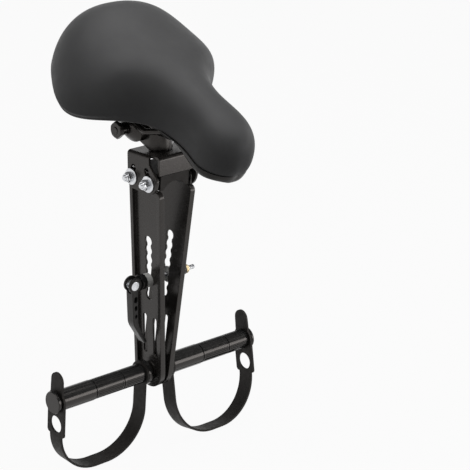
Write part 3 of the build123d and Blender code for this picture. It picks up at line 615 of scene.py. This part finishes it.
washer_section = [
    (WASHER_IN, BOLT_BORE), (WASHER_IN, WASHER_RADIUS - WASHER_CHAMFER),
    (WASHER_IN + WASHER_CHAMFER, WASHER_RADIUS), (WASHER_OUT - WASHER_ROUND, WASHER_RADIUS),
    (WASHER_OUT - WASHER_BEND, WASHER_RADIUS - WASHER_BEND), (WASHER_OUT, WASHER_RADIUS - WASHER_ROUND),
    (WASHER_OUT, BOLT_BORE),
]
collar_nut_section = nut_rings(WASHER_OUT + NUT_PLAY, NUT_OUT, BOLT_FLATS, BOLT_BORE,
                               (COLLAR_RADIUS, COLLAR_OUT - NUT_OUT))
bolt_section = [
    (HEAD_IN, HEAD_RADIUS - HEAD_CHAMFER), (HEAD_IN + HEAD_CHAMFER, HEAD_RADIUS), (HEAD_OUT, HEAD_RADIUS),
    (HEAD_OUT, BOLT_RADIUS), (SHANK_END, BOLT_RADIUS),
    *thread_rings(THREAD_START, THREAD_END, BOLT_RADIUS, BOLT_PITCH, BOLT_THREAD), (BOLT_END, BOLT_TIP),
]
fitting("bracket_washers", [turned(washer_section, x, BOLT_Z, hand) for x, hand in BOLT_PLACES],
        "frame", "zinc")
fitting("bracket_nuts", [turned(collar_nut_section, x, BOLT_Z, hand) for x, hand in BOLT_PLACES],
        "frame", "zinc")
fitting("bracket_bolts", [turned(bolt_section, x, BOLT_Z, hand, hollow=False) for x, hand in BOLT_PLACES],
        "frame", "zinc")

# Skewer rod with its lock nut, and the nuts at the pegs and the saddle clamp
SKEWER_X, SKEWER_Z = 3.3, -100.55
BARREL_FACE = 37.005
ROD_RADIUS = 2.5
ROD_PITCH = 0.8
ROD_THREAD = 0.42
ROD_TIP = 1.8
ROD_START, ROD_END = -38.7, 51.0
ROD_RUN_IN = 0.5
ROD_THREAD_END = 50.4
LOCK_NUT_OUT = BARREL_FACE + 4.0
LOCK_NUT = {"start": BARREL_FACE + NUT_PLAY, "end": LOCK_NUT_OUT, "flats": 9.0, "bore": 2.6}
PEG_X, PEG_Z = 3.3, -211.35
PEG_NUT = {"start": 6.62, "end": 13.08, "flats": 13.0, "bore": 4.1}
CLAMP_NUT = {"start": 36.82, "end": 41.8, "flats": 16.5, "bore": 4.1}

rod_section = [
    (ROD_START, ROD_RADIUS), (BARREL_FACE - ROD_RUN_IN, ROD_RADIUS),
    *thread_rings(BARREL_FACE, ROD_THREAD_END, ROD_RADIUS, ROD_PITCH, ROD_THREAD), (ROD_END, ROD_TIP),
]
fitting("skewer_rod", [turned(rod_section, SKEWER_X, SKEWER_Z, hollow=False)], "frame", "zinc")
fitting("lock_nut", [turned(nut_rings(**LOCK_NUT), SKEWER_X, SKEWER_Z)], "frame", "yellow_zinc")
peg_nut_section = nut_rings(**PEG_NUT)
fitting("peg_nuts", [turned(peg_nut_section, PEG_X, PEG_Z, hand) for hand in (1, -1)], "frame", "black_paint")
clamp_nut_section = nut_rings(**CLAMP_NUT)
fitting("clamp_nuts", [turned(clamp_nut_section, 0.0, 0.0, hand, CLAMP) for hand in (1, -1)],
        "rail_cups", "black_paint")


# Copies of the CAD's other pieces with their sharp edges rounded
WELD = 0.05
FLAT_ANGLE = math.radians(0.5)
SHARP_ANGLE = math.radians(30.0)
# A width of 0 leaves the edges as they are, on round pieces and where rounding leaves folds or points
EDGE_WIDTHS = {
    "leg_left": 0.55, "leg_right": 0.55, "seat_bracket": 0.6, "clamp_band": 0.6, "post_stub": 0.5,
    "inner_cups": 0.4, "outer_cups": 0.0, "clamp_collars": 0.6, "clamp_bolt": 0.0, "cam_lever": 0.25,
    "cam_block": 0.4, "barrel_nut": 0.5, "lever_dowel": 0.4, "skewer_washers": 0.4, "strap_left": 0.0,
    "strap_right": 0.0, "tube_block": 0.6, "saddle_rails": 0.0,
}


def rounded(name, width):
    """Copy of a CAD node with its sharp edges rounded, in place of the node."""
    shell = bmesh.new()
    shell.from_mesh(NODES[name].data)
    bmesh.ops.remove_doubles(shell, verts=shell.verts, dist=WELD * MM)
    bmesh.ops.dissolve_limit(shell, angle_limit=FLAT_ANGLE, verts=shell.verts, edges=shell.edges)
    sharp = [e for e in shell.edges if len(e.link_faces) == 2 and e.calc_face_angle() > SHARP_ANGLE]
    if width:
        bmesh.ops.bevel(shell, geom=sharp, offset=width * MM, segments=2, profile=0.5, affect="EDGES",
                        clamp_overlap=False)
    mesh = bpy.data.meshes.new(name + "_rounded")
    shell.to_mesh(mesh)
    shell.free()
    piece = place_piece(name + "_rounded", mesh, look_of(name, SLOT_OF[name]), BODY_OF[name])
    mesh.set_sharp_from_angle(angle=SHARP_ANGLE)
    weighted = piece.modifiers.new("weighted", "WEIGHTED_NORMAL")
    weighted.keep_sharp = True
    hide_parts(name)


for node_name, edge_width in EDGE_WIDTHS.items():
    rounded(node_name, edge_width)


# Floor and light
FLOOR_REACH = 14.0
FLOOR_DROP = 0.002
FLOOR_GREY = (0.25, 0.25, 0.25, 1.0)
FLOOR_ROUGHNESS = 0.9
FLOOR_WHITE = 0.95
SKY_HEIGHTS = (0.10, 0.40)
SKY_LOW, SKY_HIGH = 1.0, 0.12
SKY_FILL = 0.04
MIDDLE = (0.0, 0.0, 0.0)


def background_rays(tree):
    """1 for rays that show the background: from the camera, off gloss and through glass."""
    path = tree.nodes.new("ShaderNodeLightPath")
    value = path.outputs["Is Camera Ray"]
    for other in ("Is Glossy Ray", "Is Transmission Ray"):
        either = tree.nodes.new("ShaderNodeMath")
        either.operation = "MAXIMUM"
        tree.links.new(value, either.inputs[0])
        tree.links.new(path.outputs[other], either.inputs[1])
        value = either.outputs[0]
    return value


def make_floor():
    """Grey floor that looks nearly white to the rays that show the background."""
    z = min(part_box(name)[0][2] for name in NODES) - FLOOR_DROP
    corners = [(x * FLOOR_REACH, y * FLOOR_REACH, z) for x, y in ((-1, -1), (1, -1), (1, 1), (-1, 1))]
    mesh = bpy.data.meshes.new("floor")
    mesh.from_pydata(corners, [], [(0, 1, 2, 3)])
    floor = bpy.data.objects.new("floor", mesh)
    scene.collection.objects.link(floor)
    material, tree, bsdf = shader("floor")
    bsdf.inputs["Base Color"].default_value = FLOOR_GREY
    bsdf.inputs["Roughness"].default_value = FLOOR_ROUGHNESS
    white = add_node(tree, "ShaderNodeEmission", Strength=1.0)
    share = tree.nodes.new("ShaderNodeMath")
    share.operation = "MULTIPLY"
    share.inputs[1].default_value = FLOOR_WHITE
    tree.links.new(background_rays(tree), share.inputs[0])
    mix = tree.nodes.new("ShaderNodeMixShader")
    tree.links.new(share.outputs[0], mix.inputs[0])
    tree.links.new(bsdf.outputs[0], mix.inputs[1])
    tree.links.new(white.outputs[0], mix.inputs[2])
    tree.links.new(mix.outputs[0], tree.nodes["Material Output"].inputs["Surface"])
    mesh.materials.append(material)


def lamp(name, place, aim, size, watts):
    """Soft box at a place, turned to its aim."""
    data = bpy.data.lights.new(name, "AREA")
    data.shape = "RECTANGLE"
    data.size, data.size_y = size
    data.energy = watts
    light = bpy.data.objects.new(name, data)
    light.location = place
    light.rotation_euler = (Vector(aim) - Vector(place)).to_track_quat("-Z", "Y").to_euler()
    scene.collection.objects.link(light)


def make_world():
    """Faint fill light; rays that show the background see a white horizon under a darker sky."""
    world = bpy.data.worlds.new("world")
    scene.world = world
    world.use_nodes = True
    tree = world.node_tree
    backdrop = tree.nodes["Background"]
    backdrop.inputs["Color"].default_value = (1.0, 1.0, 1.0, 1.0)
    toward = tree.nodes.new("ShaderNodeSeparateXYZ")
    tree.links.new(tree.nodes.new("ShaderNodeTexCoord").outputs["Generated"], toward.inputs["Vector"])
    sky = add_node(tree, "ShaderNodeMapRange", From_Min=SKY_HEIGHTS[0], From_Max=SKY_HEIGHTS[1],
                   To_Min=SKY_LOW, To_Max=SKY_HIGH)
    tree.links.new(toward.outputs["Z"], sky.inputs["Value"])
    level = add_node(tree, "ShaderNodeMapRange", To_Min=SKY_FILL)
    tree.links.new(background_rays(tree), level.inputs["Value"])
    tree.links.new(sky.outputs["Result"], level.inputs["To Max"])
    tree.links.new(level.outputs["Result"], backdrop.inputs["Strength"])


make_floor()
lamp("overhead", (0.0, 0.05, 1.5), aim=MIDDLE, size=(1.8, 1.8), watts=34.5)
lamp("left_box", (-0.1, -1.3, 0.9), aim=MIDDLE, size=(0.9, 1.3), watts=5.0)
lamp("right_box", (1.3, 1.1, 0.0), aim=MIDDLE, size=(0.9, 0.9), watts=9.0)
lamp("back_box", (0.5, 1.6, 0.6), aim=(0.0, 0.0, 0.1), size=(0.9, 0.9), watts=8.0)
make_world()
